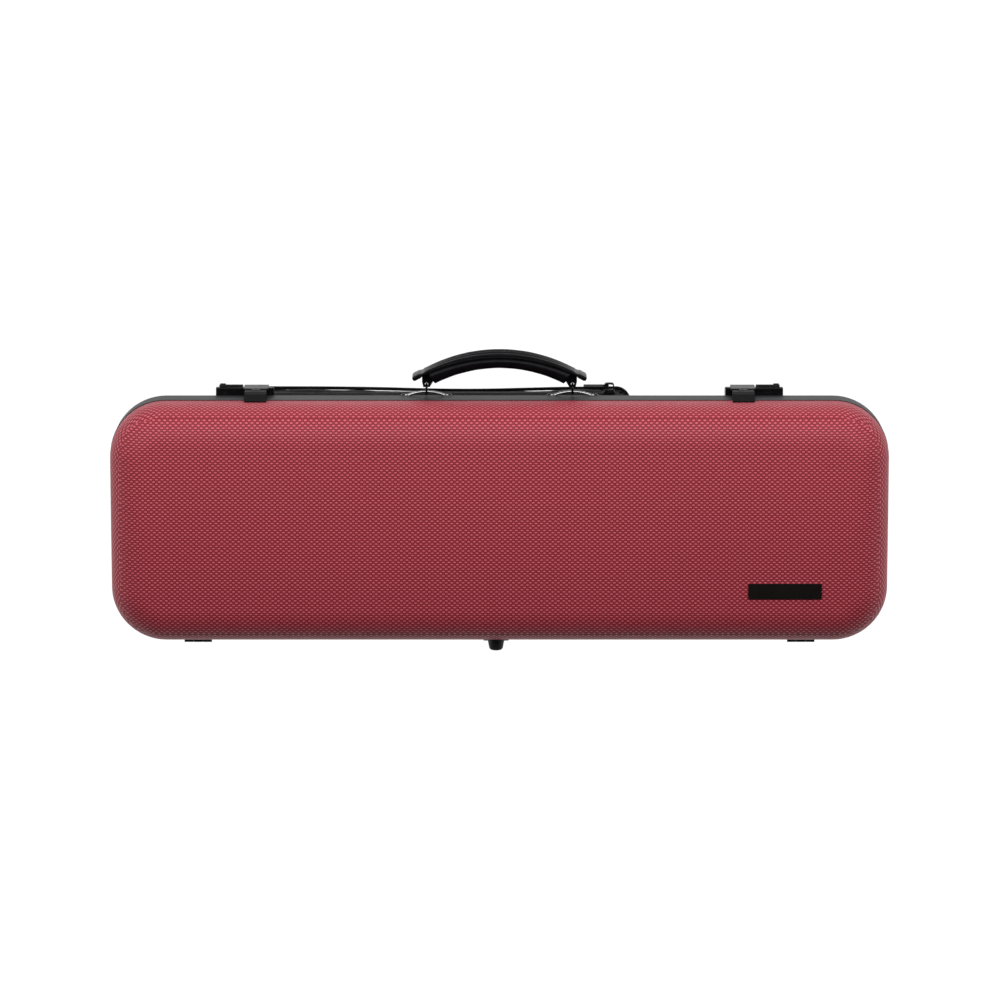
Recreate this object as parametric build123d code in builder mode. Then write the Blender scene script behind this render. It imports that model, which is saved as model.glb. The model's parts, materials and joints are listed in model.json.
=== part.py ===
from build123d import *
import math
import os

os.makedirs("parts", exist_ok=True)

# Violin case, millimetres. It lies on its back: +Z is the lid's outward direction, +Y is the
# carrying handle's side, -Y is the hinge side. Z = 0 is the outside of the music pocket.

# Case outline and depths
LENGTH = 780.0
WIDTH = 242.0
HALF_W = WIDTH / 2
CORNER_R = 55.0
WALL = 3.0
Z_BACK = 16.0
Z_PART = 106.0
Z_TOP = 158.0
PART_GAP = 1.0
Z_RIM = Z_PART + PART_GAP

# Base tub
BASE_DRAFT = 6.0
BASE_FILLET = 30.0
BAND_T = 3.0
BAND_H = 28.0
Z_BAND = Z_PART - BAND_H

# Lid
LID_CROWN = 4.0
LID_FILLET = 36.0

# Sealing lip and linings
LIP_INSET = 7.0
LIP_T = 2.0
GASKET_T = 0.7
GASKET_OUT = 0.6
FOAM_INSET = 9.3
Z_FOAM = 98.0
Z_LINING = 114.5
LINING_INSET = WALL + 0.3
LINING_T = 6.5

# Violin bed
LOWER_BOUT_R = 104.0
UPPER_BOUT_R = 84.0
LOWER_BOUT_X = -215.0
UPPER_BOUT_X = -40.0
WAIST_W = 118.0
BED_Z = 53.0
NECK_W = 50.0
NECK_END_X = 300.0
NECK_Z = 66.0
SCROLL_X = 310.0
SCROLL_L = 70.0
SCROLL_W = 68.0
SCROLL_Z = 50.0
BOX_X = 210.0
BOX_L = 270.0
BOX_Y = 68.0
BOX_W = 60.0
BOX_Z = 35.0

# Barrel hinges
HINGE_X = 304.5
HINGE_Y = -(HALF_W + 3.4)
HINGE_Z = Z_PART + PART_GAP / 2
HINGE_NOTCH = 34.0
HINGE_W = 27.5
KNUCKLE_L = 9.0
KNUCKLE_R = 3.2
PIN_R = 1.5
PIN_CLEAR = 0.05
LEAF_T = 1.5
LEAF_H = 20.0
LEAF_STANDOFF = 3.7

# Latches
LOCK_X = 256.5
LOCK_W = 58.0
LOCK_OUT = 7.3
LOCK_Z0 = 52.0
LOCK_RIDGE_Z = 71.0
LOCK_LOW_OUT = 2.5
LOCK_Z1 = Z_BAND - 0.1
HASP_X = 244.5
HASP_W = 24.4
HASP_PIVOT_OUT = 6.8
HASP_PIVOT_Z = 98.0
HASP_R = 2.2
HASP_PIN_R = 1.0
HASP_T = 2.0
HASP_Z0 = 72.0
HOOK_W = 10.0
HOOK_Z = 75.0
SLIDE_X = 270.5
SLIDE_W = 23.8
SLIDE_T = 2.0
SLIDE_L = 15.0
KNOB_T = 1.2
STEM = 6.0
STEM_Z = 62.0
SLIDE_TRAVEL = 3.0

# Handle and its bails
BAIL_X = 73.4
BAIL_SPAN = 40.0
BAIL_ROD_R = 1.4
BAIL_OUT = 4.4
HANDLE_Z = 81.5
HANDLE_W = 26.0
HANDLE_OUT = 41.4
HANDLE_HALF = 87.1
HANDLE_SAG = 22.8
STRAP_T = 2.6
PAD_R = 156.0
PAD_TOP_T = 4.0
PAD_LOW_T = 10.8
PAD_TOP_HALF = 77.0
PAD_LOW_HALF = 65.6
HANDLE_R = (HANDLE_HALF**2 + HANDLE_SAG**2) / (2 * HANDLE_SAG)
LINK_WIRE_R = 1.1
LINK_IN = 1.8
LINK_OUT = 12.2
LINK_HALF_W = 4.4
LUG_T = 3.4
LUG_HALF = 5.5
LUG_TIP_HALF = 3.2
LUG_GAP = 0.3
LUG_X = BAIL_X - 1.0

# Music pocket and zip
POCKET_X0 = -250.0
POCKET_X1 = 133.0
POCKET_Y0 = -95.0
POCKET_Y1 = 115.5
POCKET_CORNER = 14.0
POCKET_TOP = Z_BACK - 0.3
WELT_Z = 6.0
SEAM_Y = 109.5
SEAM_Z = 31.0
ZIP_Z = 22.0
ZIP_END = 15.0
ZIP_X = 111.5
BRIDGE_OUT = 12.0
PULL_OUT = 8.0
PULL_CLEAR_R = 4.4

# Rubber bumper and feet
FOOT_OUT = 12.0
BUMPER_X = -3.5
BUMPER_Z = 116.5
BUMPER_L = 25.6
BUMPER_H = 12.0
FOOT_X = 300.0
FOOT_Z = 52.0
FLANGE_R = 12.5
FLANGE_T = 2.4

# Label plate on the lid
LABEL_X = 285.5
LABEL_Y = -63.5
LABEL_L = 73.5
LABEL_H = 15.5

# Bow holders in the lid
CLIP_X = 225.0
CLIP_Y = 45.0

SIDES = {"left": -1, "right": 1}


def rim(inset, mode=Mode.ADD):
    """The case's outline, pulled in by inset."""
    return RectangleRounded(LENGTH - 2 * inset, WIDTH - 2 * inset, CORNER_R - inset, mode=mode)


def base_form(inset, floor, radius):
    """The tapered tub, as a solid, from the parting plane down to floor."""
    with BuildPart() as form:
        with BuildSketch(Plane.XY.offset(Z_PART)):
            rim(inset)
        extrude(amount=-(Z_PART - floor), taper=BASE_DRAFT)
        fillet(form.faces().sort_by(Axis.Z)[0].edges(), radius=radius)
    return form.part


def lid_form(inset, bottom):
    """The crowned, round-edged lid, as a solid, from bottom up."""
    half = HALF_W - inset
    top = Z_TOP - inset
    with BuildPart() as form:
        with BuildSketch(Plane.XY.offset(bottom)):
            rim(inset)
        extrude(amount=Z_TOP - bottom)
        with BuildSketch(Plane.YZ):
            with BuildLine():
                Polyline(
                    (-half, top - LID_CROWN),
                    (-half, bottom),
                    (half, bottom),
                    (half, top - LID_CROWN),
                )
                ThreePointArc((half, top - LID_CROWN), (0, top), (-half, top - LID_CROWN))
            make_face()
        extrude(amount=LENGTH, both=True, mode=Mode.INTERSECT)
        fillet(form.faces().sort_by(Axis.Z)[-1].edges(), radius=LID_FILLET - inset)
    return form.part


def wall_plane(x, y, z):
    """A sketch plane across X: its x runs along +Y and its y along +Z."""
    return Plane(origin=(x, y, z), x_dir=(0, 1, 0), z_dir=(1, 0, 0))


def side_plane(x, y, z, outward=1):
    """A sketch plane facing +Y (outward 1) or -Y (outward -1), its y along +Z."""
    return Plane(origin=(x, y, z), x_dir=(-outward, 0, 0), z_dir=(0, outward, 0))


base_outer = base_form(BAND_T, Z_BACK, BASE_FILLET)
base_inner = base_form(BAND_T + WALL, Z_BACK + WALL, BASE_FILLET - WALL)
lid_outer = lid_form(0, Z_RIM)
lid_inner = lid_form(WALL, Z_RIM)

# ---------------------------------------------------------------- base body

with BuildPart() as base_shell:
    add(base_outer)
    add(base_inner, mode=Mode.SUBTRACT)
base_shell.part.label = "base_shell"
export_step(base_shell.part, "parts/base_shell.step")

with BuildPart() as frame_band:
    with BuildSketch(Plane.XY.offset(Z_BAND)):
        rim(0)
    extrude(amount=BAND_H)
    fillet(frame_band.faces().sort_by(Axis.Z)[0].edges(), radius=1.6)
    fillet(frame_band.faces().sort_by(Axis.Z)[-1].edges(), radius=0.8)
    add(base_outer, mode=Mode.SUBTRACT)
frame_band.part.label = "frame_band"
export_step(frame_band.part, "parts/frame_band.step")

with BuildPart() as seal_lip:
    with BuildSketch(Plane.XY.offset(Z_PART - 8)):
        rim(LIP_INSET)
        rim(LIP_INSET + LIP_T, mode=Mode.SUBTRACT)
    extrude(amount=14)
    fillet(seal_lip.faces().sort_by(Axis.Z)[-1].edges(), radius=0.9)
    with BuildSketch(Plane.XY.offset(Z_PART + 0.05)):
        rim(-GASKET_OUT)
        rim(LIP_INSET + LIP_T / 2, mode=Mode.SUBTRACT)
        with Locations((-HINGE_X, -HALF_W), (HINGE_X, -HALF_W)):
            Rectangle(HINGE_NOTCH, 4, mode=Mode.SUBTRACT)
    extrude(amount=GASKET_T)
seal_lip.part.label = "seal_lip"
export_step(seal_lip.part, "parts/seal_lip.step")

with BuildPart() as base_lining:
    with BuildSketch(Plane.XY.offset(Z_FOAM)):
        rim(FOAM_INSET)
    extrude(amount=-(Z_FOAM - Z_BACK - WALL - 0.3), taper=BASE_DRAFT)
    fillet(base_lining.faces().sort_by(Axis.Z)[0].edges(), radius=BASE_FILLET - WALL - 1)
    with BuildSketch(Plane.XY.offset(Z_FOAM)):
        with Locations((LOWER_BOUT_X, 0)):
            Circle(LOWER_BOUT_R)
        with Locations((UPPER_BOUT_X, 0)):
            Circle(UPPER_BOUT_R)
        with Locations(((LOWER_BOUT_X + UPPER_BOUT_X) / 2, 0)):
            Rectangle(UPPER_BOUT_X - LOWER_BOUT_X, WAIST_W)
    extrude(amount=-(Z_FOAM - BED_Z), mode=Mode.SUBTRACT)
    with BuildSketch(Plane.XY.offset(Z_FOAM)):
        with Locations(((UPPER_BOUT_X + NECK_END_X) / 2, 0)):
            Rectangle(NECK_END_X - UPPER_BOUT_X, NECK_W)
    extrude(amount=-(Z_FOAM - NECK_Z), mode=Mode.SUBTRACT)
    with BuildSketch(Plane.XY.offset(Z_FOAM)):
        with Locations((SCROLL_X, 0)):
            RectangleRounded(SCROLL_L, SCROLL_W, 18)
    extrude(amount=-(Z_FOAM - SCROLL_Z), mode=Mode.SUBTRACT)
    with BuildSketch(Plane.XY.offset(Z_FOAM)):
        with Locations((BOX_X, BOX_Y), (BOX_X, -BOX_Y)):
            RectangleRounded(BOX_L, BOX_W, 8)
    extrude(amount=-(Z_FOAM - BOX_Z), mode=Mode.SUBTRACT)
base_lining.part.label = "base_lining"
export_step(base_lining.part, "parts/base_lining.step")

with BuildPart() as back_pillow:
    with BuildSketch(Plane.XY.offset(BED_Z + 0.1)):
        with Locations((LOWER_BOUT_X - 40, 0)):
            RectangleRounded(70, 130, 20)
    extrude(amount=11.9)
    fillet(back_pillow.faces().sort_by(Axis.Z)[-1].edges(), radius=5)
back_pillow.part.label = "back_pillow"
export_step(back_pillow.part, "parts/back_pillow.step")

with BuildPart() as neck_pillow:
    with BuildSketch(wall_plane(150, 0, NECK_Z + 0.1)):
        with BuildLine():
            Polyline((-24, 22), (-24, 0), (24, 0), (24, 22), (15, 22))
            ThreePointArc((15, 22), (0, 8), (-15, 22))
            Line((-15, 22), (-24, 22))
        make_face()
    extrude(amount=50)
neck_pillow.part.label = "neck_pillow"
export_step(neck_pillow.part, "parts/neck_pillow.step")

with BuildPart() as neck_strap:
    with BuildSketch(wall_plane(162, 0, Z_FOAM)):
        with BuildLine():
            ThreePointArc((-33, 0.3), (0, 4.3), (33, 0.3))
            Line((33, 0.3), (33, 1.9))
            ThreePointArc((33, 1.9), (0, 5.9), (-33, 1.9))
            Line((-33, 1.9), (-33, 0.3))
        make_face()
    extrude(amount=26)
neck_strap.part.label = "neck_strap"
export_step(neck_strap.part, "parts/neck_strap.step")

# The pocket's zipped side leans in from its welt to a seam on the shell.
seam_run = math.hypot(POCKET_Y1 - SEAM_Y, SEAM_Z - WELT_Z)
lean_y = (POCKET_Y1 - SEAM_Y) / seam_run
lean_z = (SEAM_Z - WELT_Z) / seam_run
zip_y = POCKET_Y1 - (ZIP_Z - WELT_Z) * lean_y / lean_z
zip_middle = (POCKET_X0 + POCKET_X1) / 2
# Its sketches have x along the case and y out of the zip's face; z runs up the lean.
zip_frame = Plane(origin=(0, zip_y, ZIP_Z), x_dir=(1, 0, 0), z_dir=(0, -lean_y, lean_z))

with BuildPart() as music_pocket:
    with BuildSketch(Plane.XY):
        with Locations((zip_middle, (POCKET_Y0 + POCKET_Y1) / 2)):
            RectangleRounded(POCKET_X1 - POCKET_X0, POCKET_Y1 - POCKET_Y0, POCKET_CORNER)
    extrude(amount=SEAM_Z)
    with BuildSketch(wall_plane(POCKET_X0, 0, 0)):
        with BuildLine():
            Polyline(
                (POCKET_Y0, 0),
                (POCKET_Y1, 0),
                (POCKET_Y1, WELT_Z),
                (SEAM_Y, SEAM_Z),
                (SEAM_Y - 40, SEAM_Z),
                (SEAM_Y - 40, POCKET_TOP),
                (POCKET_Y0, POCKET_TOP),
                close=True,
            )
        make_face()
    extrude(amount=POCKET_X1 - POCKET_X0, mode=Mode.INTERSECT)
    fillet(music_pocket.faces().sort_by(Axis.Z)[0].edges(), radius=4)
    add(base_form(BAND_T - 0.3, POCKET_TOP, BASE_FILLET), mode=Mode.SUBTRACT)
music_pocket.part.label = "music_pocket"
export_step(music_pocket.part, "parts/music_pocket.step")

with BuildPart() as zip_chain:
    with BuildSketch(zip_frame.offset(-2.5)):
        with Locations((zip_middle, 0.5)):
            RectangleRounded(POCKET_X1 - POCKET_X0 - 2 * ZIP_END, 1.0, 0.4)
    extrude(amount=5)
zip_chain.part.label = "zip_chain"
export_step(zip_chain.part, "parts/zip_chain.step")

with BuildPart() as base_feet:
    with BuildSketch(side_plane(0, -(HALF_W - 16), FOOT_Z, -1)):
        with Locations((-FOOT_X, 0), (FOOT_X, 0)):
            Circle(FLANGE_R)
    extrude(amount=16 - 10.4 + FLANGE_T)
    with BuildSketch(side_plane(0, -(HALF_W - 10), FOOT_Z, -1)):
        with Locations((-FOOT_X, 0), (FOOT_X, 0)):
            Circle(9.5)
    extrude(amount=10 + FOOT_OUT, taper=4)
    add(base_outer, mode=Mode.SUBTRACT)
base_feet.part.label = "base_feet"
export_step(base_feet.part, "parts/base_feet.step")

# ---------------------------------------------------------------- hinges


def knuckles(positions, plate_low, plate_high, neck_low, neck_high):
    """Both hinges' leaves of one side: plates on the wall, necks and bored knuckles."""
    with BuildPart() as leaf:
        for centre in (-HINGE_X, HINGE_X):
            with BuildSketch(side_plane(centre, -HALF_W, 0, -1)):
                with Locations((0, (plate_low + plate_high) / 2)):
                    RectangleRounded(HINGE_W, plate_high - plate_low, 2)
            extrude(amount=LEAF_T)
            for shift in positions:
                with BuildSketch(side_plane(centre, -HALF_W, 0, -1)):
                    with Locations((shift, (neck_low + neck_high) / 2)):
                        Rectangle(KNUCKLE_L, neck_high - neck_low)
                extrude(amount=LEAF_T)
                with BuildSketch(wall_plane(centre + shift - KNUCKLE_L / 2, HINGE_Y, HINGE_Z)):
                    Circle(KNUCKLE_R)
                extrude(amount=KNUCKLE_L)
        with BuildSketch(wall_plane(-HINGE_X - HINGE_W, HINGE_Y, HINGE_Z)):
            Circle(PIN_R + PIN_CLEAR)
        extrude(amount=2 * (HINGE_X + HINGE_W), mode=Mode.SUBTRACT)
    return leaf.part


pitch = (HINGE_W - KNUCKLE_L) / 2
with BuildPart() as hinge_leaves_base:
    add(
        knuckles(
            (-pitch, pitch),
            HINGE_Z - LEAF_H,
            HINGE_Z - LEAF_STANDOFF,
            HINGE_Z - LEAF_STANDOFF - 1,
            HINGE_Z,
        )
    )
hinge_leaves_base.part.label = "hinge_leaves_base"
export_step(hinge_leaves_base.part, "parts/hinge_leaves_base.step")

with BuildPart() as hinge_leaves_lid:
    add(
        knuckles(
            (0,),
            HINGE_Z + LEAF_STANDOFF,
            117.6,
            HINGE_Z,
            HINGE_Z + LEAF_STANDOFF + 1,
        )
    )
hinge_leaves_lid.part.label = "hinge_leaves_lid"
export_step(hinge_leaves_lid.part, "parts/hinge_leaves_lid.step")

with BuildPart() as hinge_pins:
    for centre in (-HINGE_X, HINGE_X):
        with BuildSketch(wall_plane(centre - HINGE_W / 2, HINGE_Y, HINGE_Z)):
            Circle(PIN_R)
        extrude(amount=HINGE_W)
    chamfer(hinge_pins.edges().filter_by(GeomType.CIRCLE), length=0.3)
hinge_pins.part.label = "hinge_pins"
export_step(hinge_pins.part, "parts/hinge_pins.step")

with BuildPart() as hinge_rivets_base:
    with BuildSketch(side_plane(0, -(HALF_W - 4), HINGE_Z - 12, -1)):
        for centre in (-HINGE_X, HINGE_X):
            with Locations((centre - 8, 0), (centre + 8, 0)):
                Circle(1.4)
    extrude(amount=4 + LEAF_T)
    with BuildSketch(side_plane(0, -(HALF_W + LEAF_T), HINGE_Z - 12, -1)):
        for centre in (-HINGE_X, HINGE_X):
            with Locations((centre - 8, 0), (centre + 8, 0)):
                Circle(2.6)
    extrude(amount=1.2, taper=30)
hinge_rivets_base.part.label = "hinge_rivets_base"
export_step(hinge_rivets_base.part, "parts/hinge_rivets_base.step")

with BuildPart() as hinge_rivets_lid:
    with BuildSketch(side_plane(0, -(HALF_W - WALL), HINGE_Z + 8, -1)):
        for centre in (-HINGE_X, HINGE_X):
            with Locations((centre - 8, 0), (centre + 8, 0)):
                Circle(1.4)
    extrude(amount=WALL + LEAF_T)
    with BuildSketch(side_plane(0, -(HALF_W + LEAF_T), HINGE_Z + 8, -1)):
        for centre in (-HINGE_X, HINGE_X):
            with Locations((centre - 8, 0), (centre + 8, 0)):
                Circle(2.4)
    extrude(amount=1.2, taper=30)
hinge_rivets_lid.part.label = "hinge_rivets_lid"
export_step(hinge_rivets_lid.part, "parts/hinge_rivets_lid.step")

# ---------------------------------------------------------------- handle bails

bail_r = ((BAIL_SPAN / 2) ** 2 + BAIL_OUT**2) / (2 * BAIL_OUT)
for side, sign in SIDES.items():
    with BuildPart() as bail:
        with BuildLine(Plane.XY.offset(HANDLE_Z)) as arch:
            ThreePointArc(
                (sign * BAIL_X - BAIL_SPAN / 2, HALF_W),
                (sign * BAIL_X, HALF_W + BAIL_OUT),
                (sign * BAIL_X + BAIL_SPAN / 2, HALF_W),
            )
        with BuildSketch(Plane(origin=arch.line @ 0, z_dir=arch.line % 0)):
            Circle(BAIL_ROD_R)
        sweep(path=arch.line)
        for end in (-1, 1):
            with BuildSketch(side_plane(sign * BAIL_X + end * (BAIL_SPAN / 2 + 1), HALF_W, HANDLE_Z)):
                RectangleRounded(9, 6, 1.5)
            extrude(amount=1.2)
        with BuildSketch(side_plane(sign * BAIL_X, HALF_W, HANDLE_Z)):
            Rectangle(80, 30)
        extrude(amount=-10, mode=Mode.SUBTRACT)
    bail.part.label = f"bail_{side}"
    export_step(bail.part, f"parts/bail_{side}.step")

with BuildPart() as bail_rivets:
    ends = [sign * BAIL_X + end * (BAIL_SPAN / 2 + 3.4) for sign in (-1, 1) for end in (-1, 1)]
    with BuildSketch(side_plane(0, HALF_W - 3, HANDLE_Z)):
        with Locations(*[(x, 0) for x in ends]):
            Circle(0.9)
    extrude(amount=3 + 1.2)
    with BuildSketch(side_plane(0, HALF_W + 1.2, HANDLE_Z)):
        with Locations(*[(x, 0) for x in ends]):
            Circle(1.9)
    extrude(amount=0.9, taper=30)
bail_rivets.part.label = "bail_rivets"
export_step(bail_rivets.part, "parts/bail_rivets.step")

# ---------------------------------------------------------------- latches

slope_run = math.hypot(LOCK_OUT - LOCK_LOW_OUT, LOCK_RIDGE_Z - LOCK_Z0)
slope_y = (LOCK_OUT - LOCK_LOW_OUT) / slope_run
slope_z = (LOCK_RIDGE_Z - LOCK_Z0) / slope_run


def slope_plate(start, end, low, high):
    """Corners of a plate on the lock's sloping face: start and end run down the slope from its
    ridge, low and high stand off it."""
    corners = []
    for along, off in ((start, low), (start, high), (end, high), (end, low)):
        y = HALF_W + LOCK_OUT - along * slope_y + off * slope_z
        z = LOCK_RIDGE_Z - along * slope_z - off * slope_y
        corners.append((y, z))
    return corners


for side, sign in SIDES.items():
    with BuildPart() as lock_body:
        with BuildSketch(wall_plane(sign * LOCK_X - LOCK_W / 2, HALF_W, 0)):
            with BuildLine():
                Polyline(
                    (-14, LOCK_Z0),
                    (LOCK_LOW_OUT, LOCK_Z0),
                    (LOCK_OUT, LOCK_RIDGE_Z),
                    (LOCK_OUT, LOCK_Z1),
                    (-14, LOCK_Z1),
                    close=True,
                )
            make_face()
        extrude(amount=LOCK_W)
        front_ends = lock_body.edges().filter_by(Axis.Y).group_by(Axis.Z)[-1].sort_by(Axis.X)
        chamfer(front_ends[-1] if sign < 0 else front_ends[0], length=2.5)
        fillet(lock_body.faces().sort_by(Axis.Y)[-1].edges(), radius=0.8)
        with BuildSketch(side_plane(sign * HASP_X, HALF_W + LOCK_OUT, HOOK_Z)):
            Rectangle(HOOK_W + 2, 14)
        extrude(amount=-3.5, mode=Mode.SUBTRACT)
        with BuildSketch(side_plane(sign * (SLIDE_X + SLIDE_TRAVEL / 2), HALF_W + LOCK_OUT, STEM_Z)):
            Rectangle(STEM + SLIDE_TRAVEL + 0.8, STEM + 0.8)
        extrude(amount=-6.5, mode=Mode.SUBTRACT)
        add(base_outer, mode=Mode.SUBTRACT)
    lock_body.part.label = f"lock_body_{side}"
    export_step(lock_body.part, f"parts/lock_body_{side}.step")

    with BuildPart() as lock_slide:
        with BuildSketch(wall_plane(sign * SLIDE_X - SLIDE_W / 2, 0, 0)):
            Polygon(*slope_plate(0, SLIDE_L, 0.3, 0.3 + SLIDE_T), align=None)
        extrude(amount=SLIDE_W)
        knob_x = sign * (SLIDE_X + SLIDE_W / 2 - 3.6)
        with BuildSketch(wall_plane(knob_x - 2.6, 0, 0)):
            Polygon(*slope_plate(0.8, SLIDE_L - 2, SLIDE_T, 0.3 + SLIDE_T + KNOB_T), align=None)
        extrude(amount=5.2)
        with BuildSketch(side_plane(sign * SLIDE_X, HALF_W + LOCK_OUT - 5.8, STEM_Z)):
            Rectangle(STEM, STEM)
        extrude(amount=5.6)
    lock_slide.part.label = f"lock_slide_{side}"
    export_step(lock_slide.part, f"parts/lock_slide_{side}.step")

    pivot_y = HALF_W + HASP_PIVOT_OUT
    with BuildPart() as hasp_mount:
        with BuildSketch(wall_plane(sign * HASP_X - 11, HALF_W, Z_PART)):
            with BuildLine():
                Polyline(
                    (-4, 1.1),
                    (3.6, 1.1),
                    (5.0, -5.2),
                    (8.6, -5.2),
                    (8.6, -3.4),
                    (6.6, 2.0),
                    (1.2, 11.0),
                    (-4, 11.0),
                    close=True,
                )
            make_face()
        extrude(amount=22)
        for shift in (-7.6, 7.6):
            with BuildSketch(wall_plane(sign * HASP_X + shift - 3.2, pivot_y, HASP_PIVOT_Z)):
                Circle(HASP_R)
                with Locations((0.2, 2)):
                    Rectangle(3.2, 4)
            extrude(amount=6.4)
        mount_slot = Plane(origin=(sign * HASP_X, HALF_W + 5, Z_PART + 4.6), x_dir=(1, 0, 0), z_dir=(0, 5, 3))
        with BuildSketch(mount_slot):
            SlotOverall(5, 1.5)
        extrude(amount=-1.6, mode=Mode.SUBTRACT)
        add(lid_outer, mode=Mode.SUBTRACT)
        with BuildSketch(wall_plane(sign * HASP_X - 20, pivot_y, HASP_PIVOT_Z)):
            Circle(HASP_PIN_R + PIN_CLEAR)
        extrude(amount=40, mode=Mode.SUBTRACT)
    hasp_mount.part.label = f"hasp_mount_{side}"
    export_step(hasp_mount.part, f"parts/hasp_mount_{side}.step")

    with BuildPart() as hasp_pin:
        with BuildSketch(wall_plane(sign * HASP_X - 10.8, pivot_y, HASP_PIVOT_Z)):
            Circle(HASP_PIN_R)
        extrude(amount=21.6)
    hasp_pin.part.label = f"hasp_pin_{side}"
    export_step(hasp_pin.part, f"parts/hasp_pin_{side}.step")

    plate_in = LOCK_OUT + 0.5
    with BuildPart() as hasp:
        with BuildSketch(wall_plane(sign * HASP_X - HASP_W / 2, HALF_W, 0)):
            with BuildLine():
                Polyline(
                    (plate_in, 95.0),
                    (plate_in, HASP_Z0),
                    (plate_in + HASP_T - 0.8, HASP_Z0),
                    (plate_in + HASP_T, HASP_Z0 + 0.8),
                    (plate_in + HASP_T, 93.5),
                    (plate_in + 1.2, 95.0),
                    close=True,
                )
            make_face()
        extrude(amount=HASP_W)
        with BuildSketch(wall_plane(sign * HASP_X - 4.2, pivot_y, HASP_PIVOT_Z)):
            Circle(HASP_R)
        extrude(amount=8.4)
        with BuildSketch(wall_plane(sign * HASP_X - 4.2, HALF_W, 0)):
            Polygon((plate_in, 94), (plate_in + HASP_T - 0.4, 94), (9.0, 98), (7.0, 98), align=None)
        extrude(amount=8.4)
        with BuildSketch(side_plane(sign * HASP_X, HALF_W + 4.6, HOOK_Z)):
            Rectangle(HOOK_W, 3)
        extrude(amount=plate_in - 4.6 + 0.4)
        with BuildSketch(wall_plane(sign * HASP_X - 20, pivot_y, HASP_PIVOT_Z)):
            Circle(HASP_PIN_R + PIN_CLEAR)
        extrude(amount=40, mode=Mode.SUBTRACT)
    hasp.part.label = f"hasp_{side}"
    export_step(hasp.part, f"parts/hasp_{side}.step")

with BuildPart() as latch_rivets:
    with BuildSketch(side_plane(0, HALF_W - 11.5, 64)):
        with Locations(*[(sign * (LOCK_X + shift), 0) for sign in (-1, 1) for shift in (-24, 24)]):
            Circle(1.5)
    extrude(amount=11.5 + 3)
latch_rivets.part.label = "latch_rivets"
export_step(latch_rivets.part, "parts/latch_rivets.step")

# ---------------------------------------------------------------- lid body

with BuildPart() as lid_shell:
    add(lid_outer)
    add(lid_inner, mode=Mode.SUBTRACT)
lid_shell.part.label = "lid_shell"
export_step(lid_shell.part, "parts/lid_shell.step")

with BuildPart() as lid_lining:
    add(lid_form(LINING_INSET, Z_LINING))
    add(lid_form(LINING_INSET + LINING_T, Z_LINING), mode=Mode.SUBTRACT)
lid_lining.part.label = "lid_lining"
export_step(lid_lining.part, "parts/lid_lining.step")

with BuildPart() as centre_bumper:
    with BuildSketch(side_plane(BUMPER_X, -HALF_W + 1, BUMPER_Z, -1)):
        Circle(8.9)
    extrude(amount=1 + FOOT_OUT, taper=10)
    fillet(centre_bumper.faces().sort_by(Axis.Y)[0].edges(), radius=2.8)
    with BuildSketch(side_plane(BUMPER_X, -HALF_W + 6, BUMPER_Z - 2.5, -1)):
        RectangleRounded(BUMPER_L, BUMPER_H, 2)
    extrude(amount=6 + FLANGE_T - 0.4)
    add(lid_outer, mode=Mode.SUBTRACT)
centre_bumper.part.label = "centre_bumper"
export_step(centre_bumper.part, "parts/centre_bumper.step")

with BuildPart() as label_plate:
    with BuildSketch(Plane.XY.offset(Z_TOP - 4)):
        with Locations((LABEL_X, LABEL_Y)):
            RectangleRounded(LABEL_L, LABEL_H, 1.2)
    extrude(amount=4)
    add(lid_outer, mode=Mode.SUBTRACT)
label_plate.part.label = "label_plate"
export_step(label_plate.part, "parts/label_plate.step")

# ---------------------------------------------------------------- bow holders in the lid

ceiling = Z_TOP - LINING_INSET - LINING_T
with BuildPart() as bow_posts:
    with BuildSketch(Plane.XY.offset(ceiling - 14)):
        with Locations((CLIP_X, -CLIP_Y), (CLIP_X, CLIP_Y)):
            Circle(3)
    extrude(amount=13)
    with BuildSketch(Plane.XY.offset(ceiling - 14)):
        with Locations((CLIP_X, -CLIP_Y), (CLIP_X, CLIP_Y)):
            Circle(6)
    extrude(amount=-1.6)
    with BuildSketch(Plane.XY.offset(ceiling - 4)):
        with Locations((CLIP_X, -CLIP_Y), (CLIP_X, CLIP_Y)):
            Circle(10)
    extrude(amount=2.8)
bow_posts.part.label = "bow_posts"
export_step(bow_posts.part, "parts/bow_posts.step")

for side, sign in SIDES.items():
    with BuildPart() as bow_clip:
        with BuildSketch(Plane.XY.offset(ceiling - 13.8)):
            with Locations((CLIP_X, sign * CLIP_Y)):
                SlotOverall(34, 11)
                Circle(3 + PIN_CLEAR, mode=Mode.SUBTRACT)
        extrude(amount=3)
    bow_clip.part.label = f"bow_clip_{side}"
    export_step(bow_clip.part, f"parts/bow_clip_{side}.step")

with BuildPart() as bow_tip_pockets:
    for y in (-CLIP_Y, CLIP_Y):
        with BuildSketch(wall_plane(-330, y, ceiling - 1.5)):
            with BuildLine():
                ThreePointArc((-17, 0), (0, -15), (17, 0))
                Line((17, 0), (-17, 0))
            make_face()
        extrude(amount=90)
        with BuildSketch(wall_plane(-320, y, ceiling - 2.9)):
            with BuildLine():
                ThreePointArc((-14, 0), (0, -12), (14, 0))
                Line((14, 0), (-14, 0))
            make_face()
        extrude(amount=90, mode=Mode.SUBTRACT)
bow_tip_pockets.part.label = "bow_tip_pockets"
export_step(bow_tip_pockets.part, "parts/bow_tip_pockets.step")

# ---------------------------------------------------------------- accessory box lid

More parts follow.
